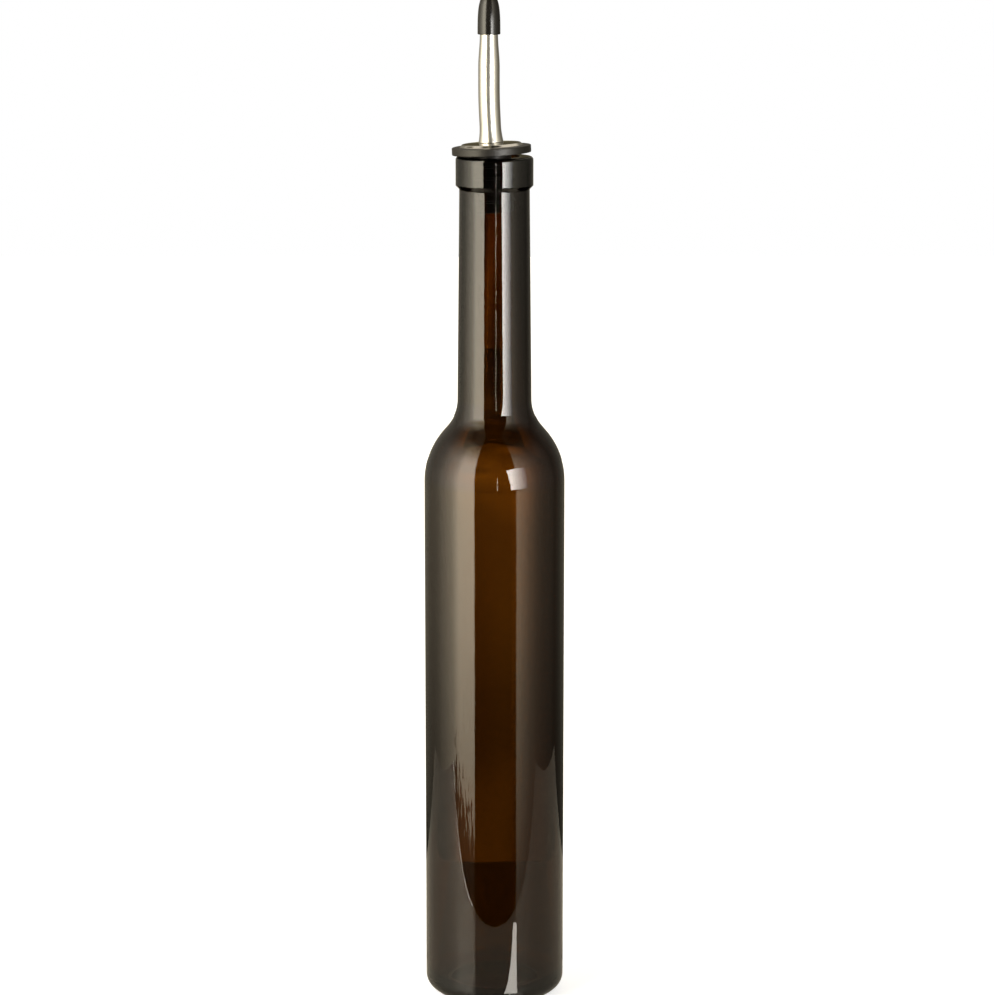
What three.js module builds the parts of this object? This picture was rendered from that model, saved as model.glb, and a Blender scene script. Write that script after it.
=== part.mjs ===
// Empty oil bottle of dark amber glass with a steel pourer in its mouth.
// Millimetres, +Z up, origin at the centre of the face it stands on, front towards -Y.
// The pourer sits crooked: it leans to the left (-X).
import * as THREE from "three";

// Glass: body, shoulder and neck
const BODY_R = 27;
const GLASS_H = 329;
const HEEL_W = 7;
const HEEL_H = 6;
const FOOT_RING_W = 4;
const PUNT_H = 3.5;
const SHOULDER_Z = 204.4;
const SHOULDER_ARC_R = 29.5;
const SHOULDER_ANGLE = THREE.MathUtils.degToRad(40.6);
const NECK_ARC_R = 16.2;
const NECK_FOOT_R = 14.25;
const NECK_TOP_R = 13.37;
const NECK_BOW = 0.11;

// Glass: lip, wall and base thickness
const LIP_R = 14.75;
const LIP_H = 11;
const LIP_BEVEL = LIP_R - NECK_TOP_R;
const LIP_ARC_R = 1.4;
const BORE_R = 9.5;
const BORE_EDGE_R = 0.8;
const BORE_L = 21;
const WALL = 2.8;
const NECK_WALL = 2.9;
const BASE_WALL = 5;
const INNER_HEEL_ARC_R = 6;

// Pourer: how it sits in the bore
const LEAN = THREE.MathUtils.degToRad(2.8);
const PLUG_L = 22;
const SEAT_CLEARANCE = 1.05;
const GAP = 0.3;

// Pourer: black stopper with a flange and sealing ribs
const FLANGE_R = 15;
const FLANGE_EDGE_H = 2.7;
const FLANGE_TOP_H = 2.95;
const FLANGE_CHAMFER = 0.2;
const SEAT_DEPTH = 0.75;
const PLUG_R = 7.4;
const PLUG_TIP_R = 6.6;
const RIB_R = 8.3;
const RIB_H = 1.2;
const RIB_EDGE_H = 0.4;
const RIB_COUNT = 4;

// Pourer: stamped steel disc, tapered steel tube and black tip cap
const DISC_R = 12.2;
const DISC_H = 1.7;
const DISC_EDGE_H = 1.3;
const RIM_H = 0.5;
const RIM_W = 0.3;
const RIM_EDGE_R = 0.2;
const TUBE_R = 4.05;
const TUBE_TIP_R = 3.4;
const TUBE_WALL = 0.5;
const TUBE_FOOT_R = 4.7;
const TUBE_FLARE_H = 6;
const TAPER_START = 27.6;
const TAPER_L = 12.8;
const BEND_START = 10.9;
const BEND_R = 200;
const CAP_START = 40.05;
const CAP_H = 15;
const CAP_R = 4.3;
const CAP_POWER = 3.2;
const CAP_EDGE_R = 0.3;
const CAP_COVERS = 8;

// How finely the turned surfaces are faceted
const GLASS_SIDES = 48;
const POURER_SIDES = 36;
const TUBE_SIDES = 20;
const FLARE_STEPS = 4;
const TUBE_STEP = 3.5;
const TAPER_STEPS = 6;
const DOME_STEPS = 12;

// Points of a profile as [radius, height] along an arc, its first point left out.
function arc(centre, radius, from, to, steps) {
  const points = [];
  for (let i = 1; i <= steps; i++) {
    const angle = from + ((to - from) * i) / steps;
    points.push([centre[0] + radius * Math.cos(angle), centre[1] + radius * Math.sin(angle)]);
  }
  return points;
}

// A closed profile of [radius, height] points turned about the vertical axis.
function turned(profile, sides) {
  const points = profile.map(([radius, height]) => new THREE.Vector2(radius, height));
  if (profile[0][0] > 0) points.push(points[0].clone());
  return new THREE.LatheGeometry(points, sides).rotateX(Math.PI / 2);
}

function finish(color, roughness, metalness) {
  return new THREE.MeshStandardMaterial({ color, roughness, metalness });
}

function piece(name, geometry, material) {
  const mesh = new THREE.Mesh(geometry, material);
  mesh.name = name;
  return mesh;
}

// One side of the wall from the body up to the neck: a convex arc on the shoulder,
// a straight flank at the same slope, and a concave arc into the neck.
function shoulderSide(bodyR, neckR, convexR, concaveR) {
  const rise = Math.sin(SHOULDER_ANGLE);
  const run = 1 - Math.cos(SHOULDER_ANGLE);
  const flank = (bodyR - neckR - (convexR + concaveR) * run) / rise;
  const top = SHOULDER_Z + (convexR + concaveR) * rise + flank * Math.cos(SHOULDER_ANGLE);
  return [
    [bodyR, SHOULDER_Z],
    ...arc([bodyR - convexR, SHOULDER_Z], convexR, 0, SHOULDER_ANGLE, 8),
    ...arc([neckR + concaveR, top], concaveR, Math.PI + SHOULDER_ANGLE, Math.PI, 6),
  ];
}

// The neck narrows upwards along a line that bows slightly outwards.
function neckSide(foot, top, bow, steps) {
  const points = [];
  for (let i = 1; i <= steps; i++) {
    const t = i / steps;
    const radius = foot[0] + (top[0] - foot[0]) * t + 4 * bow * t * (1 - t);
    points.push([radius, foot[1] + (top[1] - foot[1]) * t]);
  }
  return points;
}

// The heel rounds from the foot ring up to the body as a quarter of an ellipse.
function heelSide(ringOuterR, steps) {
  return arc([0, 0], 1, -Math.PI / 2, 0, steps).map(([across, up]) => [
    ringOuterR + HEEL_W * across,
    HEEL_H * (1 + up),
  ]);
}

function glassProfile() {
  const quarter = Math.PI / 2;
  const ringOuterR = BODY_R - HEEL_W;
  const ringInnerR = ringOuterR - FOOT_RING_W;
  const puntSphereR = (ringInnerR ** 2 + PUNT_H ** 2) / (2 * PUNT_H);
  const puntAngle = Math.asin(ringInnerR / puntSphereR);
  const puntCentre = [0, PUNT_H - puntSphereR];

  const outer = shoulderSide(BODY_R, NECK_FOOT_R, SHOULDER_ARC_R, NECK_ARC_R);
  const lipBottom = GLASS_H - LIP_H;
  const neckTop = [NECK_TOP_R, lipBottom - LIP_BEVEL];

  const innerR = BODY_R - WALL;
  const innerNeckR = NECK_FOOT_R - NECK_WALL;
  const inner = shoulderSide(innerR, innerNeckR, SHOULDER_ARC_R - WALL, NECK_ARC_R + WALL);
  const boreFoot = [BORE_R, GLASS_H - BORE_L];
  const innerNeck = neckSide(inner.at(-1), boreFoot, NECK_BOW, 4);
  const floorZ = PUNT_H + BASE_WALL;
  const floorSphereR = puntSphereR + BASE_WALL;
  const floorEdgeR = innerR - INNER_HEEL_ARC_R;
  const floorAngle = Math.asin(floorEdgeR / floorSphereR);
  const floorCentre = [0, floorZ - floorSphereR];
  const floorEdgeZ = floorCentre[1] + floorSphereR * Math.cos(floorAngle);
  const innerHeel = [floorEdgeR, floorEdgeZ + INNER_HEEL_ARC_R];

  return [
    [0, PUNT_H],
    ...arc(puntCentre, puntSphereR, quarter, quarter - puntAngle, 4),
    [ringOuterR, 0],
    ...heelSide(ringOuterR, 6),
    ...outer,
    ...neckSide(outer.at(-1), neckTop, NECK_BOW, 5),
    [LIP_R, lipBottom],
    [LIP_R, GLASS_H - LIP_ARC_R],
    ...arc([LIP_R - LIP_ARC_R, GLASS_H - LIP_ARC_R], LIP_ARC_R, 0, quarter, 4),
    [BORE_R + BORE_EDGE_R, GLASS_H],
    ...arc([BORE_R + BORE_EDGE_R, GLASS_H - BORE_EDGE_R], BORE_EDGE_R, quarter, Math.PI, 3),
    ...innerNeck.reverse(),
    ...inner.reverse(),
    ...arc(innerHeel, INNER_HEEL_ARC_R, 0, -quarter, 5),
    ...arc(floorCentre, floorSphereR, quarter - floorAngle, quarter, 4),
  ];
}

// Heights in the pourer start at the plug's lower end.
const FLANGE_Z = PLUG_L;
const DISC_Z = FLANGE_Z + FLANGE_TOP_H - SEAT_DEPTH + GAP;
const TUBE_FOOT_Z = DISC_Z + DISC_H + GAP;

// Flange with a shallow seat for the disc, and a ribbed plug, bored for the tube.
function stopperProfile() {
  const holeR = TUBE_R + GAP;
  const seatR = DISC_R + GAP;
  const pitch = PLUG_L / (RIB_COUNT + 1);
  const ribs = [];
  for (let i = 1; i <= RIB_COUNT; i++) {
    const z = pitch * i;
    ribs.push([PLUG_R, z - RIB_H / 2], [RIB_R, z - RIB_EDGE_H / 2]);
    ribs.push([RIB_R, z + RIB_EDGE_H / 2], [PLUG_R, z + RIB_H / 2]);
  }
  return [
    [holeR, 0],
    [PLUG_TIP_R, 0],
    [PLUG_R, PLUG_R - PLUG_TIP_R],
    ...ribs,
    [PLUG_R, FLANGE_Z],
    [FLANGE_R - FLANGE_CHAMFER, FLANGE_Z],
    [FLANGE_R, FLANGE_Z + FLANGE_CHAMFER],
    [FLANGE_R, FLANGE_Z + FLANGE_EDGE_H - FLANGE_CHAMFER],
    [FLANGE_R - FLANGE_CHAMFER, FLANGE_Z + FLANGE_EDGE_H],
    [seatR, FLANGE_Z + FLANGE_TOP_H],
    [seatR, FLANGE_Z + FLANGE_TOP_H - SEAT_DEPTH],
    [holeR, FLANGE_Z + FLANGE_TOP_H - SEAT_DEPTH],
  ];
}

// The disc rises at 45 degrees from its narrow rim, then gently towards the tube.
function discProfile() {
  const rimTop = DISC_Z + RIM_H;
  const riseR = DISC_R - RIM_W;
  return [
    [TUBE_R + GAP, DISC_Z],
    [DISC_R, DISC_Z],
    [DISC_R, rimTop - RIM_EDGE_R],
    ...arc([DISC_R - RIM_EDGE_R, rimTop - RIM_EDGE_R], RIM_EDGE_R, 0, Math.PI / 2, 3),
    [riseR, rimTop],
    [riseR - (DISC_EDGE_H - RIM_H), DISC_Z + DISC_EDGE_H],
    [TUBE_R + GAP, DISC_Z + DISC_H],
  ];
}

// Outside radius of the tube at a height above its flared foot: the flare falls off
// with the square of the height, and the last stretch narrows smoothly to the tip.
function tubeRadius(height) {
  const flare = Math.max(0, 1 - height / TUBE_FLARE_H);
  const taper = THREE.MathUtils.smoothstep(height, TAPER_START, TAPER_START + TAPER_L);
  return TUBE_R + (TUBE_FOOT_R - TUBE_R) * flare ** 2 - (TUBE_R - TUBE_TIP_R) * taper;
}

function tubeProfile() {
  const heights = [];
  for (let i = 0; i < FLARE_STEPS; i++) heights.push((TUBE_FLARE_H * i) / FLARE_STEPS);
  for (let h = TUBE_FLARE_H; h < TAPER_START; h += TUBE_STEP) heights.push(h);
  for (let i = 0; i <= TAPER_STEPS; i++) heights.push(TAPER_START + (TAPER_L * i) / TAPER_STEPS);
  heights.push(CAP_START + CAP_COVERS);
  const outside = heights.map((h) => [tubeRadius(h), TUBE_FOOT_Z + h]);
  const inside = outside.slice(FLARE_STEPS).map(([radius, z]) => [radius - TUBE_WALL, z]);
  return [
    [TUBE_R - TUBE_WALL, 0],
    [TUBE_R, 0],
    [TUBE_R, TUBE_FOOT_Z],
    ...outside,
    ...inside.reverse(),
  ];
}

// A cup upside down over the tube's end. Its outside is a superellipse:
// radius = CAP_R * (1 - (height / CAP_H) ** p) ** (1 / p).
function capProfile() {
  const z = TUBE_FOOT_Z + CAP_START;
  const boreR = TUBE_TIP_R + GAP;
  const boreTop = z + CAP_COVERS + GAP;
  const dome = [];
  for (let i = 1; i <= DOME_STEPS; i++) {
    const s = Math.sin((Math.PI / 2) * (i / DOME_STEPS));
    dome.push([CAP_R * (1 - s ** CAP_POWER) ** (1 / CAP_POWER), z + CAP_H * s]);
  }
  dome.at(-1)[0] = 0;
  return [
    [0, boreTop],
    [boreR, boreTop],
    [boreR, z],
    [CAP_R - CAP_EDGE_R, z],
    [CAP_R, z + CAP_EDGE_R],
    ...dome,
  ];
}

// The tube leaves the disc square to it. Above BEND_START an arc turns it back by the
// angle of the lean, so that its upper part stands upright.
function bent(geometry) {
  const start = TUBE_FOOT_Z + BEND_START;
  const arcL = BEND_R * LEAN;
  const position = geometry.attributes.position;
  for (let i = 0; i < position.count; i++) {
    const x = position.getX(i);
    const along = position.getZ(i) - start;
    if (along <= 0) continue;
    const turn = Math.min(along, arcL) / BEND_R;
    const straight = Math.max(0, along - arcL);
    const axisX = BEND_R * (1 - Math.cos(turn)) + straight * Math.sin(turn);
    const axisZ = start + BEND_R * Math.sin(turn) + straight * Math.cos(turn);
    position.setX(i, axisX + x * Math.cos(turn));
    position.setZ(i, axisZ - x * Math.sin(turn));
  }
  return geometry;
}

const glass = finish(0x4a2a0c, 0.05, 0);
glass.transparent = true;
glass.opacity = 0.85;

const bottle = new THREE.Group();
bottle.add(piece("bottle", turned(glassProfile(), GLASS_SIDES), glass));

// The pourer leans about the plug's lower end, which stays on the bottle's axis.
const pourer = new THREE.Group();
pourer.position.z = GLASS_H + SEAT_CLEARANCE - PLUG_L;
pourer.rotation.y = -LEAN;
pourer.add(
  piece("stopper", turned(stopperProfile(), POURER_SIDES), finish(0x3a3734, 0.45, 0)),
  piece("disc", turned(discProfile(), POURER_SIDES), finish(0xd8d4c8, 0.15, 1)),
  piece("spout", bent(turned(tubeProfile(), TUBE_SIDES)), finish(0xdedbd4, 0.15, 1)),
  piece("tip_cap", bent(turned(capProfile(), TUBE_SIDES)), finish(0x464341, 0.5, 0)),
);
bottle.add(pourer);

export default bottle;
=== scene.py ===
import math

import bpy
import numpy as np
from bpy.props import FloatProperty, FloatVectorProperty, PointerProperty
from bpy.types import Operator, Panel, PropertyGroup
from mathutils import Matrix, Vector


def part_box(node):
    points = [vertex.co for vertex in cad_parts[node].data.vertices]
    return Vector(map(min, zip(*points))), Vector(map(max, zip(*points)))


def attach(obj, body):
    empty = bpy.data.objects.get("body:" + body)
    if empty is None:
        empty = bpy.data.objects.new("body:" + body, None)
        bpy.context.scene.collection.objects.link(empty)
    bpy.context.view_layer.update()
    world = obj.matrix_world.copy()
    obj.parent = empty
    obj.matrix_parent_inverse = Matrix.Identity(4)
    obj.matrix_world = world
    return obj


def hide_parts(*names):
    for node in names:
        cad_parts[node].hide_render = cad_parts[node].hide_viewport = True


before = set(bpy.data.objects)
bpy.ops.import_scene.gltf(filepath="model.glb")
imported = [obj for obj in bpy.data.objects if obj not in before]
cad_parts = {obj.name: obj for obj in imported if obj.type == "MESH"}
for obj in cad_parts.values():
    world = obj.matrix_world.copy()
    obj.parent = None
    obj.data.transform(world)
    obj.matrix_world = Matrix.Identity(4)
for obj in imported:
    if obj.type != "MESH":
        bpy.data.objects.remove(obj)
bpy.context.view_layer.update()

bl_info = {
    "name": "Oil Bottle",
    "version": (1, 0, 0),
    "blender": (4, 5, 0),
    "location": "View3D > Sidebar > Oil Bottle",
    "description": "Builds an amber glass oil bottle with a steel pourer, and its studio",
    "category": "Add Mesh",
}

MM = 0.001
GLASS_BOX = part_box("bottle")

# How finely the turned surfaces are divided
GLASS_SIDES = 192
POURER_SIDES = 128
TUBE_SIDES = 72


def linear(code):
    """The linear colour of an sRGB hex code such as c8b090."""
    values = np.array([int(code[i : i + 2], 16) for i in (0, 2, 4)]) / 255
    low = values / 12.92
    high = ((values + 0.055) / 1.055) ** 2.4
    return tuple(np.where(values <= 0.04045, low, high).tolist())


def length(label, millimetres, description):
    return FloatProperty(
        name=label, description=description, default=millimetres * MM, precision=5, unit="LENGTH"
    )


def angle(label, degrees, description):
    return FloatProperty(
        name=label, description=description, default=math.radians(degrees), subtype="ANGLE"
    )


def colour(label, code, description):
    return FloatVectorProperty(
        name=label, description=description, default=linear(code), subtype="COLOR", min=0, max=1
    )


class GlassSizes(PropertyGroup):
    """Sizes of the glass. Its outside radius and height are the frame's."""

    body_radius: length("Body radius", GLASS_BOX[1].x / MM, "Outside radius of the body")
    height: length("Height", GLASS_BOX[1].z / MM, "From the table to the top of the lip")
    heel_width: length("Heel width", 7, "How far the heel rounds inwards")
    heel_height: length("Heel height", 6, "How far the heel rounds upwards")
    foot_width: length("Foot width", 4, "Width of the ring that the bottle stands on")
    punt: length("Punt", 3.5, "Depth of the hollow under the base")
    shoulder_start: length("Shoulder start", 204.4, "Height at which the body starts to curve in")
    shoulder_arc: length("Shoulder arc", 29.5, "Radius of the convex arc of the shoulder")
    shoulder_angle: angle("Shoulder angle", 40.6, "Slope of the shoulder from upright")
    neck_arc: length("Neck arc", 16.2, "Radius of the concave arc below the neck")
    neck_foot: length("Neck foot radius", 14.25, "Outside radius of the neck at its foot")
    neck_top: length("Neck top radius", 13.37, "Outside radius of the neck under the lip")
    lip_radius: length("Lip radius", 14.75, "Outside radius of the lip")
    lip_height: length("Lip height", 11, "Height of the lip's upright face and rounded top")
    lip_arc: length("Lip arc", 1.4, "Radius of the rounding on top of the lip")
    bore: length("Bore radius", 9.5, "Inside radius at the mouth")
    wall: length("Wall", 2.8, "Thickness of the body's wall")
    bore_length: length("Bore length", 21, "Depth of the even bore under the mouth")
    neck_wall: length("Neck wall", 2.9, "Thickness of the glass at the foot of the neck")
    base_wall: length("Base", 5, "Thickness of the glass over the punt")
    seam_drop: length("Seam drop", 14.7, "From the lip's top down to the neck ring mould's seam")


class PourerSizes(PropertyGroup):
    """Sizes of the pourer. Heights are from the lower end of its plug."""

    lean: angle("Lean", 2.8, "How far the pourer leans to the left in the bore")
    plug_length: length("Plug length", 22, "From the plug's lower end to the flange")
    clearance: length("Clearance", 1.05, "Between the flange's middle and the top of the lip")
    gap: length("Gap", 0.3, "Between the pieces of the pourer")
    flange: length("Flange radius", 15, "Outside radius of the stopper's flange")
    flange_edge: length("Flange edge", 2.7, "Height of the flange's upright edge")
    flange_top: length("Flange top", 2.95, "Height of the flange round the disc")
    seat_depth: length("Seat depth", 0.75, "Depth of the seat for the disc")
    plug: length("Plug radius", 7.4, "Radius of the plug between its ribs")
    rib: length("Rib radius", 8.3, "Radius of the sealing ribs")
    disc: length("Disc radius", 12.2, "Outside radius of the steel disc")
    disc_height: length("Disc height", 1.7, "Height of the steel disc at the tube")
    disc_edge: length("Disc edge", 1.3, "Height of the disc's top over its slope")
    rim_height: length("Rim height", 0.5, "Height of the disc's rim")
    rim_width: length("Rim width", 0.3, "Width of the disc's rim")
    tube: length("Tube radius", 4.05, "Outside radius of the tube")
    tube_tip: length("Tube tip radius", 3.4, "Outside radius of the tube in the cap")
    tube_wall: length("Tube wall", 0.5, "Thickness of the tube's wall")
    tube_foot: length("Tube foot radius", 4.7, "Outside radius of the flared foot")
    cap: length("Cap radius", 4.3, "Outside radius of the tip cap")
    cap_height: length("Cap height", 15, "Height of the tip cap")
    cap_start: length("Cap start", 40.05, "From the tube's foot to the cap's lower edge")


class FinishColours(PropertyGroup):
    """Colours of the finishes."""

    glass_clear: colour("Clear glass", "ffffff", "Colour of the glass's surface where it is clean")
    glass_film: colour("Glass film", "f4f1ea", "Colour of the thin film that wiping leaves")
    glass_body: colour("Amber", "d2bc56", "Colour of the glass's inside")
    plastic: colour("Black plastic", "1f1c19", "Colour of the stopper")
    plastic_worn: colour("Rubbed plastic", "2a2622", "Colour of the stopper where it is rubbed")
    steel: colour("Steel", "dcdad4", "Colour of the polished steel")
    steel_streak: colour("Drawn steel", "cfccc4", "Colour of the streaks along the tube")
    rubber: colour("Black rubber", "1d1b1a", "Colour of the tip cap")
    rubber_bloom: colour("Rubber bloom", "272523", "Colour of the dull film on the tip cap")
    plate: colour("Glossy plate", "948c7c", "Colour of the plate that the bottle stands on")
    paper: colour("White paper", "efefee", "Colour of the paper under the bottle")
    paper_pulp: colour("Paper pulp", "ebebea", "Colour of the paper's faint mottling")
    plate_wiped: colour("Wiped plate", "8c8474", "Colour of the plate's wiped streaks")


class StudioSizes(PropertyGroup):
    """Where the camera, the plate and the softbox stand."""

    camera_distance: length("Camera distance", 1200, "From the camera to the bottle's axis")
    camera_height: length("Camera height", 430.2, "Height of the camera")
    camera_side: length("Camera side", 0.95, "How far the camera stands to the right")
    camera_pitch: angle("Camera pitch", 10.97, "How far the camera looks down")
    plate_front: length("Plate front", 126, "From the axis to the plate's front edge")
    plate_back: length("Plate back", 164, "From the axis to the plate's rear edge")
    plate_half: length("Plate half width", 350, "From the axis to the plate's sides")
    plate_thick: length("Plate thickness", 4, "Thickness of the plate")
    box_distance: length("Softbox distance", 480, "From the axis to the softbox")
    box_bottom: length("Softbox bottom", 155, "Height of the softbox's lower edge")
    box_top: length("Softbox top", 402, "Height of the softbox's upper edge")
    box_left: angle("Softbox left", 20, "Direction of its left edge, from the camera's side")
    box_right: angle("Softbox right", 54.5, "Direction of its right edge")


# Radius of the rounding where the bottle's wall meets its floor on the inside
INNER_HEEL_ARC = 6 * MM

# Sealing ribs on the stopper's plug
RIBS = 4

# Focal length of the lens and width of the film
LENS_MM = 114.66
SENSOR_MM = 36


def arc(centre, radii, start, end, steps):
    """Points (radius, height) of an ellipse round its centre, between two angles in degrees."""
    turn = np.radians(np.linspace(start, end, steps + 1))
    return np.column_stack(
        (centre[0] + radii[0] * np.cos(turn), centre[1] + radii[1] * np.sin(turn))
    )


def rounded(corners, closed=False, spacing=2 * MM, steps=8):
    """An outline through corners (radius, height, fillet): straight lines joined by arcs.

    A fillet of radius f at a corner whose sides open by the angle 2h starts f / tan(h)
    along each side, and its centre is f / sin(h) from the corner on the line that halves
    the angle. The two radii to the ends of the arc are turned into each other evenly.
    Straight runs are divided at the spacing, with a point close to each end so that the
    shading of a flat face stays flat.
    """
    corners = np.array(corners, float)
    point, fillet = corners[:, :2], corners[:, 2:]
    back = np.roll(point, 1, 0) - point
    ahead = np.roll(point, -1, 0) - point
    back = back / np.linalg.norm(back, axis=1, keepdims=True)
    ahead = ahead / np.linalg.norm(ahead, axis=1, keepdims=True)
    opening = np.sum(back * ahead, axis=1, keepdims=True)
    half = np.arccos(np.clip(opening, -0.999999, 0.999999)) / 2
    halving = back + ahead
    halving = halving / np.maximum(np.linalg.norm(halving, axis=1, keepdims=True), 1e-9)
    centre = point + halving * fillet / np.sin(half)
    first = point + back * fillet / np.tan(half) - centre
    last = point + ahead * fillet / np.tan(half) - centre
    sweep = (math.pi - 2 * half)[:, :, None]
    t = np.linspace(0, 1, steps + 1)[None, :, None]
    turned_radius = np.sin((1 - t) * sweep) * first[:, None] + np.sin(t * sweep) * last[:, None]
    arcs = centre[:, None] + turned_radius / np.sin(sweep)
    parts = []
    for i in range(len(corners)):
        parts.append(arcs[i] if fillet[i, 0] > 0 else point[i : i + 1])
        if i == len(corners) - 1 and not closed:
            break
        following = (i + 1) % len(corners)
        start = parts[-1][-1]
        end = arcs[following][0] if fillet[following, 0] > 0 else point[following]
        run = np.linalg.norm(end - start)
        if run < 1e-9:
            continue
        near = min(0.08 * MM / run, 0.1)
        inner = np.linspace(0, 1, max(1, math.ceil(run / spacing)) + 1)[1:-1]
        along = np.unique(np.concatenate(([near, 1 - near], inner)))[:, None]
        parts.append(start + (end - start) * along)
    outline = np.vstack(parts)
    fresh = np.linalg.norm(outline - np.roll(outline, 1, 0), axis=1) > 1e-8
    return outline[fresh]


def turned(name, outline, sides, swell=None, place=None):
    """A surface of revolution: the outline (radius, height) turned about the z axis.

    Point (i, j) is at radius r(i) and height z(i), at the angle 2 pi j / sides. swell adds
    to the radius by angle and height, and place moves the finished points. A point of the
    outline on the axis is one vertex, and an outline off the axis is closed on itself.
    """
    around = np.arange(sides)[None, :] * 2 * math.pi / sides
    radius, height = outline[:, :1], outline[:, 1:]
    spread = radius + (swell(around, radius, height) if swell else 0)
    x, y, z = spread * np.cos(around), spread * np.sin(around), height + 0 * around
    if place:
        x, y, z = place(x, y, z)
    ids = np.arange(x.size).reshape(x.shape)
    poles = radius[:, 0] < 1e-7
    ids[poles] = ids[poles][:, :1]
    rows = len(outline) if not poles.any() else len(outline) - 1
    low = ids[:rows]
    high = np.roll(ids, -1, 0)[:rows]
    quads = np.stack((low, np.roll(low, -1, 1), np.roll(high, -1, 1), high), -1).reshape(-1, 4)
    below = quads[:, 0] == quads[:, 1]
    above = quads[:, 2] == quads[:, 3]
    used, packed = np.unique(quads, return_inverse=True)
    packed = packed.reshape(quads.shape)
    faces = packed[~below & ~above].tolist()
    faces += packed[below][:, [0, 2, 3]].tolist()
    faces += packed[above][:, :3].tolist()
    points = np.stack((x, y, z), -1).reshape(-1, 3)[used]
    return new_piece(name, points, faces)


def new_piece(name, points, faces):
    """A mesh object with smooth faces at the origin."""
    mesh = bpy.data.meshes.new(name)
    mesh.from_pydata(points.tolist(), [], faces)
    mesh.polygons.foreach_set("use_smooth", np.ones(len(mesh.polygons), bool))
    mesh.update()
    piece = bpy.data.objects.new(name, mesh)
    bpy.context.scene.collection.objects.link(piece)
    return piece


def fit(piece, node, material):
    """The piece stands for its node of the frame and takes that slot's finish."""
    piece.data.materials.append(material)
    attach(piece, "root")
    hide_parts(node)


def add(tree, kind, links=None, stops=None, **settings):
    """Adds one shader node. links sets its inputs by name or number, each to a value or to
    another node's output, and stops are a colour ramp's (position, colour) pairs."""
    made = tree.nodes.new("ShaderNode" + kind)
    for key, value in settings.items():
        setattr(made, key, value)
    for key, value in (links or {}).items():
        if isinstance(value, bpy.types.NodeSocket):
            tree.links.new(value, made.inputs[key])
        else:
            made.inputs[key].default_value = value
    if stops:
        elements = made.color_ramp.elements
        while len(elements) < len(stops):
            elements.new(1)
        for element, stop in zip(elements, stops):
            element.position = stop[0]
        for element, stop in zip(elements, stops):
            element.color = stop[1]
    return made


def rgba(colour_value):
    return (*colour_value, 1)


def new_material(name):
    """A material and its tree, empty but for the output."""
    material = bpy.data.materials.new(name)
    material.use_nodes = True
    tree = material.node_tree
    tree.nodes.clear()
    return material, tree


def stretched_noise(tree, size, detail, seed=0):
    """Noise whose blotches have the given size (x, y, z) in metres, on Object coordinates."""
    coords = add(tree, "TexCoord")
    scale = tuple(1 / s for s in size)
    mapping = add(
        tree,
        "Mapping",
        {"Vector": coords.outputs["Object"], "Scale": scale, "Location": (seed, seed, seed)},
    )
    return add(tree, "TexNoise", {"Vector": mapping.outputs[0], "Scale": 1, "Detail": detail})


def amber_container_glass(colours):
    """Amber container glass, blown in a mould and fire polished. It is clear and hard edged
    in its reflections, almost black where light crosses much glass, orange brown where
    light crosses two thin walls, and a little uneven, so that reflections waver."""
    material, tree = new_material("amber container glass")
    film = stretched_noise(tree, (14 * MM, 14 * MM, 60 * MM), 3)
    tint = add(
        tree,
        "Mix",
        {0: film.outputs["Fac"], 6: rgba(colours.glass_clear), 7: rgba(colours.glass_film)},
        data_type="RGBA",
    )
    ripple = stretched_noise(tree, (9 * MM, 9 * MM, 45 * MM), 2, seed=7)
    bump = add(
        tree,
        "Bump",
        {"Height": ripple.outputs["Fac"], "Distance": 0.03 * MM, "Strength": 1},
    )
    surface = add(
        tree,
        "BsdfPrincipled",
        {
            "Base Color": tint.outputs[2],
            "Roughness": 0.01,
            "IOR": 1.52,
            "Transmission Weight": 1,
            "Normal": bump.outputs[0],
        },
    )
    inside = add(
        tree, "VolumeAbsorption", {"Color": rgba(colours.glass_body), "Density": 1400}
    )
    add(
        tree,
        "OutputMaterial",
        {"Surface": surface.outputs[0], "Volume": inside.outputs[0]},
    )
    return material


def moulded_black_plastic(colours):
    """Soft black polyethylene, injection moulded with a fine eroded texture. It has a satin,
    faintly mottled sheen with no clear reflections."""
    material, tree = new_material("moulded black plastic")
    mottle = stretched_noise(tree, (2.5 * MM, 2.5 * MM, 1.2 * MM), 3)
    tint = add(
        tree,
        "Mix",
        {0: mottle.outputs["Fac"], 6: rgba(colours.plastic), 7: rgba(colours.plastic_worn)},
        data_type="RGBA",
    )
    # The real grain of about 0.05 mm is drawn at 0.35 mm, or it wouldn't show.
    grain = stretched_noise(tree, (0.35 * MM,) * 3, 2, seed=3)
    bump = add(
        tree, "Bump", {"Height": grain.outputs["Fac"], "Distance": 0.02 * MM, "Strength": 1}
    )
    surface = add(
        tree,
        "BsdfPrincipled",
        {
            "Base Color": tint.outputs[2],
            "Roughness": 0.42,
            "IOR": 1.51,
            "Normal": bump.outputs[0],
        },
    )
    add(tree, "OutputMaterial", {"Surface": surface.outputs[0]})
    return material


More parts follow.
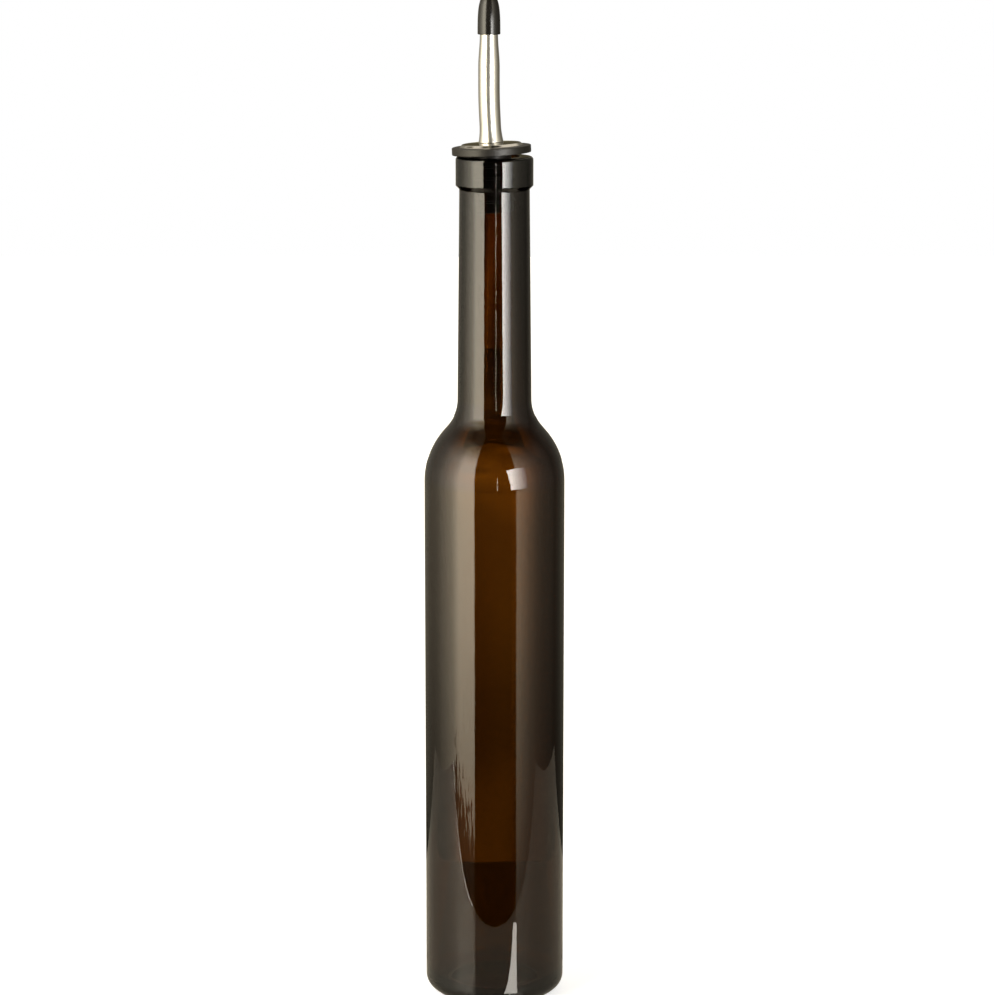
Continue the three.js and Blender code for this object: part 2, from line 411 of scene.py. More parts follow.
def polished_stainless_steel(colours, shape, smoothest, roughest):
    """Stainless steel, drawn to a tube or stamped to a disc, and polished. It mirrors the
    studio, with fine lines along the drawing that soften the mirror a little."""
    material, tree = new_material("polished stainless steel " + shape)
    # The real drawing lines of a few hundredths of a millimetre are drawn 0.3 mm wide.
    lines = stretched_noise(tree, (0.3 * MM, 0.3 * MM, 12 * MM), 3)
    tint = add(
        tree,
        "Mix",
        {0: lines.outputs["Fac"], 6: rgba(colours.steel), 7: rgba(colours.steel_streak)},
        data_type="RGBA",
    )
    dullness = add(
        tree,
        "MapRange",
        {"Value": lines.outputs["Fac"], "To Min": smoothest, "To Max": roughest},
    )
    surface = add(
        tree,
        "BsdfPrincipled",
        {
            "Base Color": tint.outputs[2],
            "Metallic": 1,
            "Roughness": dullness.outputs[0],
        },
    )
    add(tree, "OutputMaterial", {"Surface": surface.outputs[0]})
    return material


def moulded_black_rubber(colours):
    """Black nitrile rubber, moulded in a polished mould. It shines, with soft edged highlights
    and a faint bloom."""
    material, tree = new_material("moulded black rubber")
    bloom = stretched_noise(tree, (1.6 * MM, 1.6 * MM, 3 * MM), 4, seed=5)
    tint = add(
        tree,
        "Mix",
        {0: bloom.outputs["Fac"], 6: rgba(colours.rubber), 7: rgba(colours.rubber_bloom)},
        data_type="RGBA",
    )
    dullness = add(
        tree,
        "MapRange",
        {"Value": bloom.outputs["Fac"], "To Min": 0.14, "To Max": 0.26},
    )
    surface = add(
        tree,
        "BsdfPrincipled",
        {"Base Color": tint.outputs[2], "Roughness": dullness.outputs[0], "IOR": 1.52},
    )
    add(tree, "OutputMaterial", {"Surface": surface.outputs[0]})
    return material


def gloss_grey_acrylic(colours, state, glow):
    """Cast grey acrylic sheet, polished. It is even and mirrors the studio. Its faint glow is
    painted light, an emission standing in for light that falls on the plate; the shaded copy has
    none."""
    material, tree = new_material("gloss grey acrylic " + state)
    wipe = stretched_noise(tree, (160 * MM, 40 * MM, 40 * MM), 2)
    tint = add(
        tree,
        "Mix",
        {0: wipe.outputs["Fac"], 6: rgba(colours.plate), 7: rgba(colours.plate_wiped)},
        data_type="RGBA",
    )
    surface = add(
        tree,
        "BsdfPrincipled",
        {
            "Base Color": tint.outputs[2],
            "Roughness": 0.04,
            "IOR": 1.49,
            # Painted light: the plate glows by emission though it is no lamp.
            "Emission Color": (1, 0.92, 0.75, 1),
            "Emission Strength": glow,
        },
    )
    add(tree, "OutputMaterial", {"Surface": surface.outputs[0]})
    return material


def glass_outline(s):
    """Half section of the glass: under the base, up the outside, over the lip, down the
    inside and over the base again. Upright, sloping and neck lines meet in fillets."""
    slope = s.shoulder_angle
    reach = math.tan(slope / 2)
    ring = s.body_radius - s.heel_width
    hollow = ring - s.foot_width
    punt_ball = (hollow**2 + s.punt**2) / (2 * s.punt)
    punt_edge = math.degrees(math.asin(hollow / punt_ball))
    punt_middle = (0, s.punt - punt_ball)
    lip_bottom = s.height - s.lip_height
    bevel = s.lip_radius - s.neck_top

    def shoulder(body, neck, convex, concave):
        """Corners where the body's line meets the flank's and where that meets the neck's."""
        low = s.shoulder_start + convex * reach
        high = low + (body - neck) / math.tan(slope)
        return [(body, low, convex), (neck, high, concave)]

    inner_body = s.body_radius - s.wall
    inner_neck = s.neck_foot - s.neck_wall
    inner_shoulder = shoulder(
        inner_body, inner_neck, s.shoulder_arc - s.wall, s.neck_arc + s.wall
    )
    bore_foot = s.height - s.bore_length
    bevel_arc, edge_arc, mouth_arc, bore_arc = 0.9 * MM, 0.5 * MM, 0.8 * MM, 60 * MM
    heel = arc((ring, s.heel_height), (s.heel_width, s.heel_height), -90, 0, 16)
    underside = arc(punt_middle, (punt_ball, punt_ball), 90, 90 - punt_edge, 12)
    outside = rounded(
        [
            (s.body_radius, s.heel_height, 0),
            *shoulder(s.body_radius, s.neck_foot, s.shoulder_arc, s.neck_arc),
            (s.neck_top, lip_bottom - bevel, bevel_arc),
            (s.lip_radius, lip_bottom, edge_arc),
            (s.lip_radius, s.height, s.lip_arc),
            (s.bore, s.height, mouth_arc),
            (s.bore, bore_foot, bore_arc),
            *reversed(inner_shoulder),
            (inner_body, s.punt + s.base_wall + INNER_HEEL_ARC, 0),
        ],
        spacing=1.5 * MM,
        steps=14,
    )
    floor_ball = punt_ball + s.base_wall
    floor_reach = inner_body - INNER_HEEL_ARC
    floor_edge = math.degrees(math.asin(floor_reach / floor_ball))
    floor_middle = (0, s.punt + s.base_wall - floor_ball)
    floor = arc(floor_middle, (floor_ball, floor_ball), 90 - floor_edge, 90, 12)
    corner_middle = (floor_reach, floor[0, 1] + INNER_HEEL_ARC)
    corner = arc(corner_middle, (INNER_HEEL_ARC, INNER_HEEL_ARC), 0, -90, 12)
    outline = np.vstack((underside, heel, outside[1:-1], corner, floor[1:]))
    outline[[0, -1], 0] = 0
    return outline


def glass_swell(s):
    """Unevenness of blown glass. Inside, the wall is thicker and thinner by up to 0.16 mm
    in slow waves round and along the bottle: the sine of 3 times the angle plus the height
    over 31 mm, and 0.6 of the sine of 7 times the angle less the height over 55 mm. Outside
    is the fine seam that the neck ring mould leaves, a ridge shaped like a bell curve."""
    wave, ridge, ridge_width = 0.1 * MM, 0.07 * MM, 0.3 * MM
    steep_rise, slow_rise = 31 * MM, 55 * MM
    seam = s.height - s.seam_drop
    inside_below = s.body_radius - 0.4 * s.wall
    neck_start = s.shoulder_start + 25 * MM

    def swell(around, radius, height):
        limit = np.where(height > neck_start, s.neck_foot - 1.5 * MM, inside_below)
        inside = (radius < limit) & (height > s.punt + s.base_wall + INNER_HEEL_ARC)
        inside &= height < s.height - s.bore_length
        waves = np.sin(3 * around + height / steep_rise)
        waves = waves + 0.6 * np.sin(7 * around - height / slow_rise)
        bell = np.exp(-(((height - seam) / ridge_width) ** 2))
        outside = radius > s.neck_top - 0.5 * MM
        return np.where(inside, wave * waves, 0) + np.where(outside, ridge * bell, 0)

    return swell


def stopper_outline(p):
    """Half section of the stopper: the plug with four ribs, the flange and the disc's seat."""
    chamfer, rib_foot, rib_crest = 0.8 * MM, 0.6 * MM, 0.2 * MM
    crease, edge, crest = 0.1 * MM, 0.3 * MM, 0.12 * MM
    hole = p.tube + p.gap
    seat = p.disc + 0.05 * MM
    flange = p.plug_length
    pitch = flange / (RIBS + 1)
    corners = [(hole, 0, crease), (p.plug - chamfer, 0, edge), (p.plug, chamfer, edge)]
    for i in range(RIBS):
        z = pitch * (i + 1)
        corners.append((p.plug, z - rib_foot, crease))
        corners.append((p.rib, z - rib_crest, crest))
        corners.append((p.rib, z + rib_crest, crest))
        corners.append((p.plug, z + rib_foot, crease))
    top = flange + p.flange_edge
    rim = flange + p.flange_top
    corners += [
        (p.plug, flange, 0.4 * MM),
        (p.flange, flange, 0.25 * MM),
        (p.flange, top, edge),
        (seat, rim, crest),
        (seat, rim - p.seat_depth, 0.08 * MM),
        (hole, rim - p.seat_depth, crease),
    ]
    return rounded(corners, closed=True, spacing=1.5 * MM, steps=6)


def disc_base(p):
    return p.plug_length + p.flange_top - p.seat_depth + p.gap


def disc_outline(p):
    """Half section of the steel disc: a narrow rim, a slope of 45 degrees, and a top that
    rises gently towards the tube."""
    low = disc_base(p)
    rim = low + p.rim_height
    edge = low + p.disc_edge
    hole = p.tube + p.gap
    return rounded(
        [
            (hole, low, 0.05 * MM),
            (p.disc, low, 0.1 * MM),
            (p.disc, rim, 0.2 * MM),
            (p.disc - p.rim_width, rim, 0.1 * MM),
            (p.disc - p.rim_width - (edge - rim), edge, 0.5 * MM),
            (hole, low + p.disc_height, 0.1 * MM),
        ],
        closed=True,
        spacing=1.2 * MM,
        steps=8,
    )


def tube_base(p):
    return disc_base(p) + p.disc_height + p.gap


def tube_outline(p):
    """Half section of the tube. Its radius falls from the flared foot with the square of
    the height, stays even, and narrows smoothly (as 3t^2 - 2t^3) before the cap. The
    foot reaches down to the disc."""
    flare_height, taper_start, taper_length = 6 * MM, 27.6 * MM, 12.8 * MM
    above = np.linspace(0, p.cap_start + 8 * MM, 80)
    flare = np.clip(1 - above / flare_height, 0, 1) ** 2
    t = np.clip((above - taper_start) / taper_length, 0, 1)
    taper = t * t * (3 - 2 * t)
    radius = p.tube + (p.tube_foot - p.tube) * flare - (p.tube - p.tube_tip) * taper
    outside = np.column_stack((radius, tube_base(p) + above))
    keep = above >= flare_height
    inside = np.column_stack((radius[keep] - p.tube_wall, outside[keep, 1]))[::-1]
    inner = p.tube - p.tube_wall
    foot = tube_base(p) - 0.9 * p.gap
    stem = np.array([(inner, 0), (p.tube, 0), (p.tube, foot), (p.tube_foot, foot)])
    return np.vstack((stem, outside, inside))


def cap_outline(p):
    """Half section of the tip cap: a cup whose outside is a superellipse,
    radius = R (1 - (height / H)^3.2)^(1 / 3.2), with a rounded lower edge."""
    power, edge, covers = 3.2, 0.3 * MM, 8 * MM
    low = tube_base(p) + p.cap_start
    bore = p.tube_tip + p.gap
    rise = np.sin(np.linspace(0, math.pi / 2, 40))
    rise = rise[rise * p.cap_height > 1.5 * edge]
    radius = p.cap * np.clip(1 - rise**power, 0, 1) ** (1 / power)
    dome = np.column_stack((radius, low + p.cap_height * rise))
    mouth = rounded(
        [
            (0, low + covers + p.gap, 0),
            (bore, low + covers + p.gap, 0.4 * MM),
            (bore, low, 0.1 * MM),
            (p.cap, low, edge),
            (p.cap, low + 1.4 * edge, 0),
        ],
        steps=8,
    )
    return np.vstack((mouth, dome))


def seated(p, glass_height):
    """Turns the pourer by its lean to the left about the lower end of its plug, and sets
    it in the bore."""
    foot = glass_height + p.clearance - p.plug_length
    cos, sin = math.cos(p.lean), math.sin(p.lean)

    def place(x, y, z):
        return x * cos - z * sin, y, x * sin + z * cos + foot

    return place


def bent_and_seated(p, glass_height):
    """Bends the tube back by the angle of the lean along an arc, so that its upper part
    stands upright, then seats it. A point at the length l along the arc of radius B turns
    by l / B, and past the arc it follows the last direction."""
    start, bend = tube_base(p) + 10.9 * MM, 200 * MM
    place = seated(p, glass_height)

    def bent(x, y, z):
        along = np.maximum(z - start, 0)
        turn = np.minimum(along, bend * p.lean) / bend
        straight = np.maximum(along - bend * p.lean, 0)
        axis_x = bend * (1 - np.cos(turn)) + straight * np.sin(turn)
        axis_z = np.minimum(z, start) + bend * np.sin(turn) + straight * np.cos(turn)
        return place(axis_x + x * np.cos(turn), y, axis_z - x * np.sin(turn))

    return bent


class OILBOTTLE_OT_glass(Operator):
    """Builds the bottle of amber glass"""

    bl_idname = "oilbottle.glass"
    bl_label = "Glass Bottle"

    def execute(self, context):
        scene = context.scene
        sizes = scene.oil_glass
        piece = turned("glass_bottle", glass_outline(sizes), GLASS_SIDES, glass_swell(sizes))
        fit(piece, "bottle", amber_container_glass(scene.oil_colours))
        return {"FINISHED"}


class OILBOTTLE_OT_stopper(Operator):
    """Builds the ribbed black stopper with its flange"""

    bl_idname = "oilbottle.stopper"
    bl_label = "Stopper"

    def execute(self, context):
        scene = context.scene
        sizes = scene.oil_pourer
        place = seated(sizes, scene.oil_glass.height)
        piece = turned("ribbed_stopper", stopper_outline(sizes), POURER_SIDES, place=place)
        fit(piece, "stopper", moulded_black_plastic(scene.oil_colours))
        return {"FINISHED"}


class OILBOTTLE_OT_steel(Operator):
    """Builds the steel disc and the steel tube"""

    bl_idname = "oilbottle.steel"
    bl_label = "Steel Disc and Tube"

    def execute(self, context):
        scene = context.scene
        sizes = scene.oil_pourer
        colours = scene.oil_colours
        place = seated(sizes, scene.oil_glass.height)
        disc = turned("steel_disc", disc_outline(sizes), POURER_SIDES, place=place)
        fit(disc, "disc", polished_stainless_steel(colours, "disc", 0.06, 0.12))
        place = bent_and_seated(sizes, scene.oil_glass.height)
        tube = turned("pouring_tube", tube_outline(sizes), TUBE_SIDES, place=place)
        fit(tube, "spout", polished_stainless_steel(colours, "tube", 0.3, 0.33))
        return {"FINISHED"}


class OILBOTTLE_OT_cap(Operator):
    """Builds the black rubber cap on the tube's tip"""

    bl_idname = "oilbottle.cap"
    bl_label = "Tip Cap"

    def execute(self, context):
        scene = context.scene
        sizes = scene.oil_pourer
        place = bent_and_seated(sizes, scene.oil_glass.height)
        piece = turned("rubber_tip_cap", cap_outline(sizes), TUBE_SIDES, place=place)
        fit(piece, "tip_cap", moulded_black_rubber(scene.oil_colours))
        return {"FINISHED"}


# Highest radiance in the studio's world, where 1 is a white surface in the picture
PEAK = 8.0

# Radiance of the panels by direction, in degrees from the camera's side to the right
PANELS = [
    (-180, 0.2),
    (-165, 0.25),
    (-150, 0.3),
    (-128, 0.4),
    (-116, 0.6),
    (-106, 0.9),
    (-89, 2.0),
    (-74, 3.4),
    (-60, 6.6),
    (-34, 6.8),
    (-32.5, 0.025),
    (35.5, 0.025),
    (37, 2.6),
    (47, 1.8),
    (60, 1.05),
    (74, 0.6),
    (89, 0.38),
    (106, 0.25),
    (118, 0.12),
    (144, 0.18),
    (165, 0.2),
    (180, 0.2),
]

# Radiance and share of blue of the backdrop by elevation in degrees
BACKDROP = [
    (-24, 0.4, 0.6),
    (-17.5, 0.82, 0.6),
    (-16.3, 0.8, 0.6),
    (-15.5, 0.5, 0.6),
    (-14.6, 0.55, 0.6),
    (-12.8, 0.98, 0.6),
    (-11.4, 1.1, 0.6),
    (-10.6, 2.1, 0.6),
    (-9.9, 2.0, 0.6),
    (-9.2, 1.6, 0.6),
    (-8.1, 0.95, 0.6),
    (-7.2, 0.85, 0.6),
    (-6.7, 1.4, 0.6),
    (-6, 2.2, 0.6),
    (-1, 0.6, 0.6),
    (1.5, 0.09, 0.5),
    (14, 0.09, 0.5),
    (20, 0.4, 0.85),
    (45, 0.4, 0.85),
    (66, 0.15, 0.85),
]

# How much of the panels shows, and its share of blue, by elevation in degrees
PANEL_HEIGHTS = [
    (-18, 0.2, 0.66),
    (-16.8, 0.4, 0.66),
    (-14.5, 0.66, 0.66),
    (-13, 0.84, 0.66),
    (-11, 1, 0.66),
    (-8, 1, 0.7),
    (-4, 1, 0.74),
    (27, 1, 0.76),
    (46, 0.35, 0.6),
    (58, 0.05, 0.6),
    (66, 0.03, 0.6),
]

# Lowest elevation of the lists by elevation and the span that they cover, in degrees
LOWEST = -24
SPAN = 90

# Share of the backdrop in the room by direction, where 0 and 1 are straight behind
BEHIND = [
    (0.0097, 1),
    (0.0167, 0.35),
    (0.033, 0.05),
    (0.05, 0),
    (0.958, 0),
    (0.975, 0.08),
    (0.986, 0.3),
    (0.993, 0.7),
    (0.997, 1),
]

# The left panel's lower edge: its fall in degrees over a full turn, its two levels, and
# the shares of a turn between which it passes from the one to the other
EDGE_FALL = 15
EDGE_LEVELS = (-10, -14.83)
EDGE_STEP = (0.298, 0.306)

# The streaks along that edge: noise cells in a full turn and in the span of elevation,
# their length and the soft run of their ends in degrees, and what stays lit below them
STREAK_CELLS = (144, 250, 1)
STREAK_LENGTH = 4
STREAK_ENDS = (-0.1, 0.25)
BELOW_STREAKS = 0.08

# The pale ceiling: its colour, and where it starts and is full by the height, the depth
# and the width of the direction's unit vector
CEILING = (0.11, 0.1, 0.085, 1)
CEILING_LIMITS = ((0.45, 0.62), (-0.02, 0.06), (0.585, 0.555))

# Brightness of the softbox from its left side (0) to its right side (1)
FALLOFF = [(0, 0.9), (0.25, 0.85), (0.5, 0.5), (0.75, 0.26), (1, 0.05)]

# How far the softbox's lower corners are set in from the left and up from the bottom
SOFTBOX_INSET = math.radians(6.5)
SOFTBOX_RISE = 10 * MM

# The slit of light: its sides in degrees from the camera's side, its foot and its top
SLIT_SIDES = (4.1, 5)
SLIT_HEIGHTS = (158, 300)

# Corners in mm of the painted streak of light and the painted shade on the plate, both just
# over the plate, and of the gauze behind the bottle
STREAK = [(8, -43, 0.1), (60, -114, 0.1), (70, -108, 0.1), (19, -38.5, 0.1)]
SHADE = [(-40, 30, 0.1), (40, 30, 0.1), (40, 164, 0.1), (-40, 164, 0.1)]
GAUZE = [(-20, 114, 203), (20, 114, 203), (20, 114, 241), (-20, 114, 241)]

# The painted highlight on the plate's front edge, a glowing strip: where it ends left of the
# axis, how wide it is and how far it lies over the plate
EDGE_END = 85 * MM
EDGE_WIDTH = 2 * MM
EDGE_OVER = 0.05 * MM


def softbox_light():
    """The softbox's cloth, dimmer towards its right side."""
    material, tree = new_material("lit softbox cloth")
    coords = add(tree, "TexCoord")
    across = add(tree, "SeparateXYZ", {0: coords.outputs["UV"]})
    falloff = add(
        tree,
        "ValToRGB",
        {0: across.outputs[0]},
        stops=[(share, rgba((level, 0.98 * level, 0.93 * level))) for share, level in FALLOFF],
    )
    glow = add(tree, "Emission", {"Color": falloff.outputs[0], "Strength": 18.5})
    add(tree, "OutputMaterial", {"Surface": glow.outputs[0]})
    return material


def plain_light(name, strength):
    """A narrow warm light of even strength. It lights the slit, and it paints light on the plate.
    """
    material, tree = new_material(name)
    glow = add(tree, "Emission", {"Color": (1, 0.94, 0.84, 1), "Strength": strength})
    add(tree, "OutputMaterial", {"Surface": glow.outputs[0]})
    return material


def grey_gauze():
    """Fine grey gauze stretched flat. It lets a third of the light through."""
    material, tree = new_material("fine grey gauze")
    clear = add(tree, "BsdfTransparent", {"Color": (0.36, 0.38, 0.42, 1)})
    add(tree, "OutputMaterial", {"Surface": clear.outputs[0]})
    return material


def matt_white_paper(colours):
    """Matt white background paper, evenly lit from below. It shows nearly white everywhere,
    with a soft shadow at the bottle's foot."""
    material, tree = new_material("matt white paper")
    pulp = stretched_noise(tree, (60 * MM, 60 * MM, 60 * MM), 3)
    tint = add(
        tree,
        "Mix",
        {0: pulp.outputs["Fac"], 6: rgba(colours.paper), 7: rgba(colours.paper_pulp)},
        data_type="RGBA",
    )
    surface = add(
        tree,
        "BsdfPrincipled",
        {
            "Base Color": tint.outputs[2],
            "Roughness": 0.9,
            "Emission Color": (1, 1, 1, 1),
            "Emission Strength": 0.75,
        },
    )
    add(tree, "OutputMaterial", {"Surface": surface.outputs[0]})
    return material


def direction_stops(levels):
    """Ramp stops from (direction in degrees, radiance) pairs, as shares of PEAK."""
    return [((d + 180) / 360, rgba((value / PEAK,) * 3)) for d, value in levels]


def elevation_stops(levels, peak=1):
    """Ramp stops from (elevation in degrees, level, blue) triples, where blue is the
    share of blue and green lies between it and red."""
    return [
        (
            (d - LOWEST) / SPAN,
            rgba((level / peak, level * (0.7 + 0.3 * b) / peak, level * b / peak)),
        )
        for d, level, b in levels
    ]


def studio_world(scene):
    """The room round the bottle as a function of direction: a dark front, a bright warm
    panel on the left with a sharp near edge, a dimmer one on the right, a bright backdrop
    that is uneven by height, and a pale ceiling. Directions are angles about the z axis,
    and elevations come from z. The camera itself sees plain white."""
    world = bpy.data.worlds.new("studio")
    scene.world = world
    world.use_nodes = True
    tree = world.node_tree
    tree.nodes.clear()
    coords = add(tree, "TexCoord")
    split = add(tree, "SeparateXYZ", {0: coords.outputs["Generated"]})
    front = add(tree, "Math", {0: split.outputs[1], 1: -1}, operation="MULTIPLY")
    turn = add(tree, "Math", {0: split.outputs[0], 1: front.outputs[0]}, operation="ARCTAN2")
    direction = add(
        tree,
        "Math",
        {0: turn.outputs[0], 1: 1 / (2 * math.pi), 2: 0.5},
        operation="MULTIPLY_ADD",
    )
    rise = add(tree, "Math", {0: split.outputs[2]}, operation="ARCSINE")
    elevation = add(
        tree,
        "Math",
        {0: rise.outputs[0], 1: math.degrees(1) / SPAN, 2: -LOWEST / SPAN},
        operation="MULTIPLY_ADD",
    )

    sides, heights = direction_stops(PANELS), elevation_stops(PANEL_HEIGHTS)
    panels = add(tree, "ValToRGB", {0: direction.outputs[0]}, stops=sides)
    fade = add(tree, "ValToRGB", {0: elevation.outputs[0]}, stops=heights)
    lit = add(
        tree,
        "Mix",
        {0: 1, 6: panels.outputs[0], 7: fade.outputs[0]},
        data_type="RGBA",
        blend_type="MULTIPLY",
    )
    # Below a line that slants down to the right the left panel breaks up into streaks.
    cell = add(tree, "CombineXYZ", {0: direction.outputs[0], 1: elevation.outputs[0]})
    stretch = add(tree, "Mapping", {"Vector": cell.outputs[0], "Scale": STREAK_CELLS})
    streaks = add(tree, "TexNoise", {"Vector": stretch.outputs[0], "Scale": 1, "Detail": 2})
    west = add(
        tree,
        "MapRange",
        {
            "Value": direction.outputs[0],
            "From Min": EDGE_STEP[0],
            "From Max": EDGE_STEP[1],
            "To Min": EDGE_LEVELS[0],
            "To Max": EDGE_LEVELS[1],
        },
    )
    slant = add(
        tree,
        "Math",
        {0: direction.outputs[0], 1: EDGE_FALL, 2: west.outputs[0]},
        operation="MULTIPLY_ADD",
    )
    above = add(
        tree,
        "Math",
        {0: elevation.outputs[0], 1: SPAN, 2: slant.outputs[0]},
        operation="MULTIPLY_ADD",
    )
    ragged = add(
        tree,
        "Math",
        {0: streaks.outputs["Fac"], 1: STREAK_LENGTH, 2: above.outputs[0]},
        operation="MULTIPLY_ADD",
    )
    kept = add(
        tree,
        "MapRange",
        {
            "Value": ragged.outputs[0],
            "From Min": STREAK_ENDS[0],
            "From Max": STREAK_ENDS[1],
            "To Min": BELOW_STREAKS,
        },
    )
    lit = add(
        tree,
        "Mix",
        {0: 1, 6: lit.outputs[2], 7: kept.outputs[0]},
        data_type="RGBA",
        blend_type="MULTIPLY",
    )
    backdrop = add(
        tree, "ValToRGB", {0: elevation.outputs[0]}, stops=elevation_stops(BACKDROP, PEAK)
    )
    shares = [(place, rgba((share,) * 3)) for place, share in BEHIND]
    behind = add(tree, "ValToRGB", {0: direction.outputs[0]}, stops=shares)
    room = add(
        tree,
        "Mix",
        {0: behind.outputs[0], 6: lit.outputs[2], 7: backdrop.outputs[0]},
        data_type="RGBA",
    )
    # The ceiling shows where the direction is high up, behind the bottle and not far aside.
    aside = add(tree, "Math", {0: split.outputs[0]}, operation="ABSOLUTE")
    measures = (split.outputs[2], split.outputs[1], aside.outputs[0])
    high, rear, middle = [
        add(tree, "MapRange", {"Value": measure, "From Min": none, "From Max": full})
        for measure, (none, full) in zip(measures, CEILING_LIMITS)
    ]
    ceiling = add(tree, "Math", {0: high.outputs[0], 1: rear.outputs[0]}, operation="MULTIPLY")
    ceiling = add(
        tree, "Math", {0: ceiling.outputs[0], 1: middle.outputs[0]}, operation="MULTIPLY"
    )
    room = add(
        tree,
        "Mix",
        {0: ceiling.outputs[0], 6: room.outputs[2], 7: CEILING},
        data_type="RGBA",
    )
    bright = add(tree, "Background", {"Color": room.outputs[2], "Strength": PEAK})
    plain = add(tree, "Background", {"Color": (1, 1, 1, 1), "Strength": 1})
    path = add(tree, "LightPath")
    shown = add(
        tree,
        "MixShader",
        {0: path.outputs["Is Camera Ray"], 1: bright.outputs[0], 2: plain.outputs[0]},
    )
    add(tree, "OutputWorld", {"Surface": shown.outputs[0]})


def softbox_cloth(s):
    """The softbox's cloth, upright and flat, and a little narrower at the bottom.
    A corner's direction gives its place on the line between the two sides' feet."""
    low, high = s.box_bottom, s.box_top
    turn = np.array([s.box_left, s.box_left + SOFTBOX_INSET, s.box_right, s.box_right])
    z = np.array([high, low, low + SOFTBOX_RISE, high])
    middle, half = (s.box_left + s.box_right) / 2, (s.box_right - s.box_left) / 2
    reach = s.box_distance * math.cos(half) / np.cos(turn - middle)
    points = np.column_stack((reach * np.sin(turn), -reach * np.cos(turn), z))
    cloth = new_piece("softbox", points, [(0, 1, 2, 3)])
    share = (np.tan(turn - middle) / math.tan(half) + 1) / 2
    spread = np.column_stack((share, (z - low) / (high - low)))
    cloth.data.uv_layers.new(name="spread").data.foreach_set("uv", spread.ravel())
    return cloth


def box_faces():
    return [(0, 3, 2, 1), (4, 5, 6, 7), (0, 1, 5, 4), (1, 2, 6, 5), (2, 3, 7, 6), (3, 0, 4, 7)]


def flat_piece(name, corners, material):
    """A flat piece of the studio with four corners."""
    piece = new_piece(name, np.array(corners), [(0, 1, 2, 3)])
    piece.data.materials.append(material)
    return piece


def plate_and_floor(scene, s):
    """The glossy plate, which only reflections and the glass see, and the white floor,
    which only the camera sees."""
    half, front, back = s.plate_half, -s.plate_front, s.plate_back
    outline = [(-half, front), (half, front), (half, back), (-half, back)]
    corners = [(x, y, z) for z in (-s.plate_thick, 0) for x, y in outline]
    plate = new_piece("plate", np.array(corners), box_faces())
    plate.data.polygons.foreach_set("use_smooth", np.zeros(6, bool))
    # The lit plate's glow of 0.26 is painted light, standing in for light that falls on it.
    plate.data.materials.append(gloss_grey_acrylic(scene.oil_colours, "lit", glow=0.26))
    plate.visible_camera = plate.visible_diffuse = plate.visible_shadow = False

    # The floor reaches 2.5 m each way and lies just under the bottle's foot.
    reach, level = 2.5, -0.05 * MM
    sheet = [(-reach, -reach), (reach, -reach), (reach, reach), (-reach, reach)]
    corners = [(x, y, level) for x, y in sheet]
    floor = flat_piece("floor", corners, matt_white_paper(scene.oil_colours))
    floor.visible_diffuse = floor.visible_glossy = floor.visible_transmission = False
    return plate, floor


def reflected_pieces(scene, s):
    """The lights and screens that show only as reflections and through the glass."""
    softbox = softbox_cloth(s)
    softbox.data.materials.append(softbox_light())
    left, right = np.radians(SLIT_SIDES)
    turns = np.array([left, right, right, left])
    heights = np.repeat(SLIT_HEIGHTS, 2) * MM
    span = s.box_distance * np.column_stack((np.sin(turns), -np.cos(turns)))
    corners = np.column_stack((span, heights))
    slit = flat_piece("slit", corners, plain_light("lit slit", strength=12))

    # A painted highlight: a glowing strip lying just over the plate's front edge.
    front, rear = -s.plate_front, -s.plate_front + EDGE_WIDTH
    edge = [(-s.plate_half, front), (-EDGE_END, front), (-EDGE_END, rear), (-s.plate_half, rear)]
    corners = [(x, y, EDGE_OVER) for x, y in edge]
    glint = flat_piece("painted_plate_edge_glint", corners, plain_light("lit plate edge", strength=8))
    # A painted pool of light on the plate: a glowing streak just over it.
    light = plain_light("light on the plate", strength=9)
    streak = flat_piece("painted_light_streak", np.array(STREAK) * MM, light)
    gauze = flat_piece("gauze", np.array(GAUZE) * MM, grey_gauze())
    glint.visible_transmission = streak.visible_transmission = False
    # Painted shade: an unlit copy of the plate laid just over it behind the bottle.
    shaded = gloss_grey_acrylic(scene.oil_colours, "shaded", glow=0)
    shade = flat_piece("painted_plate_shade", np.array(SHADE) * MM, shaded)

    pieces = (softbox, slit, glint, streak, gauze, shade)
    for piece in pieces:
        piece.visible_camera = piece.visible_shadow = piece.visible_diffuse = False
    return pieces


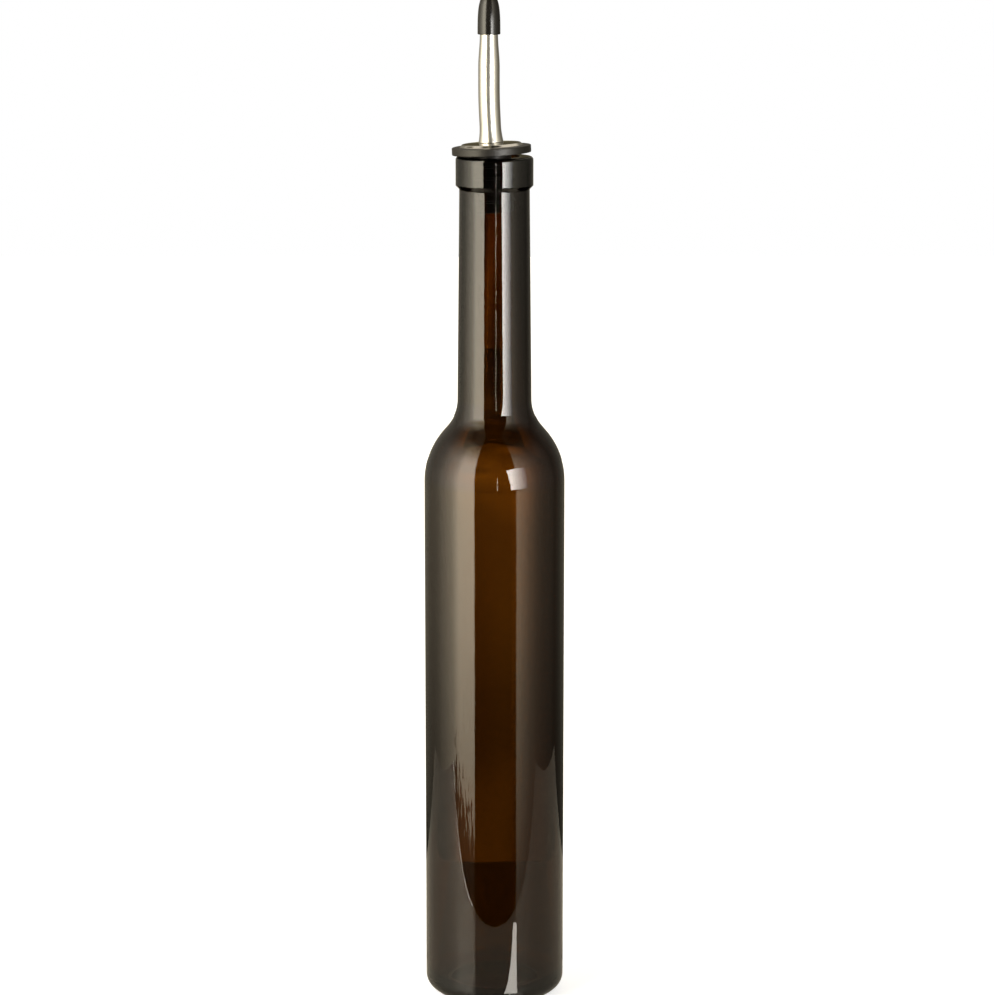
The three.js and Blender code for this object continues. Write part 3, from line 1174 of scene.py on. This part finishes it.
def place_camera(scene, s):
    """The camera at the photograph's angle, and the plain view transform."""
    lens = bpy.data.cameras.new("camera")
    lens.lens = LENS_MM
    lens.sensor_width = SENSOR_MM
    camera = bpy.data.objects.new("camera", lens)
    camera.location = (s.camera_side, -s.camera_distance, s.camera_height)
    camera.rotation_euler = (math.pi / 2 - s.camera_pitch, 0, 0)
    scene.collection.objects.link(camera)
    scene.camera = camera
    scene.view_settings.view_transform = "Standard"


class OILBOTTLE_OT_stage(Operator):
    """Sets up the plate, the floor, the lights, the studio's panels and the camera"""

    bl_idname = "oilbottle.stage"
    bl_label = "Studio"

    def execute(self, context):
        scene = context.scene
        sizes = scene.oil_studio
        plate, floor = plate_and_floor(scene, sizes)
        reflected_pieces(scene, sizes)
        studio_world(scene)
        place_camera(scene, sizes)
        return {"FINISHED"}


class OILBOTTLE_PT_panel(Panel):
    """Lists the pieces of the oil bottle"""

    bl_label = "Oil Bottle"
    bl_idname = "OILBOTTLE_PT_panel"
    bl_space_type = "VIEW_3D"
    bl_region_type = "UI"
    bl_category = "Oil Bottle"

    def draw(self, context):
        for operator in OPERATORS:
            self.layout.operator(operator.bl_idname)
        for group in SETTINGS:
            for name in getattr(context.scene, group).bl_rna.properties.keys():
                if name not in ("rna_type", "name"):
                    self.layout.prop(getattr(context.scene, group), name)


OPERATORS = (
    OILBOTTLE_OT_glass,
    OILBOTTLE_OT_stopper,
    OILBOTTLE_OT_steel,
    OILBOTTLE_OT_cap,
    OILBOTTLE_OT_stage,
)
SETTINGS = {
    "oil_glass": GlassSizes,
    "oil_pourer": PourerSizes,
    "oil_colours": FinishColours,
    "oil_studio": StudioSizes,
}


def register():
    for kind in (*SETTINGS.values(), *OPERATORS, OILBOTTLE_PT_panel):
        bpy.utils.register_class(kind)
    for name, group in SETTINGS.items():
        setattr(bpy.types.Scene, name, PointerProperty(type=group))


def unregister():
    for name in SETTINGS:
        delattr(bpy.types.Scene, name)
    for kind in (OILBOTTLE_PT_panel, *reversed(OPERATORS), *reversed(SETTINGS.values())):
        bpy.utils.unregister_class(kind)


def main():
    register()
    bpy.ops.oilbottle.glass()
    bpy.ops.oilbottle.stopper()
    bpy.ops.oilbottle.steel()
    bpy.ops.oilbottle.cap()
    bpy.ops.oilbottle.stage()


if __name__ == "__main__":
    main()
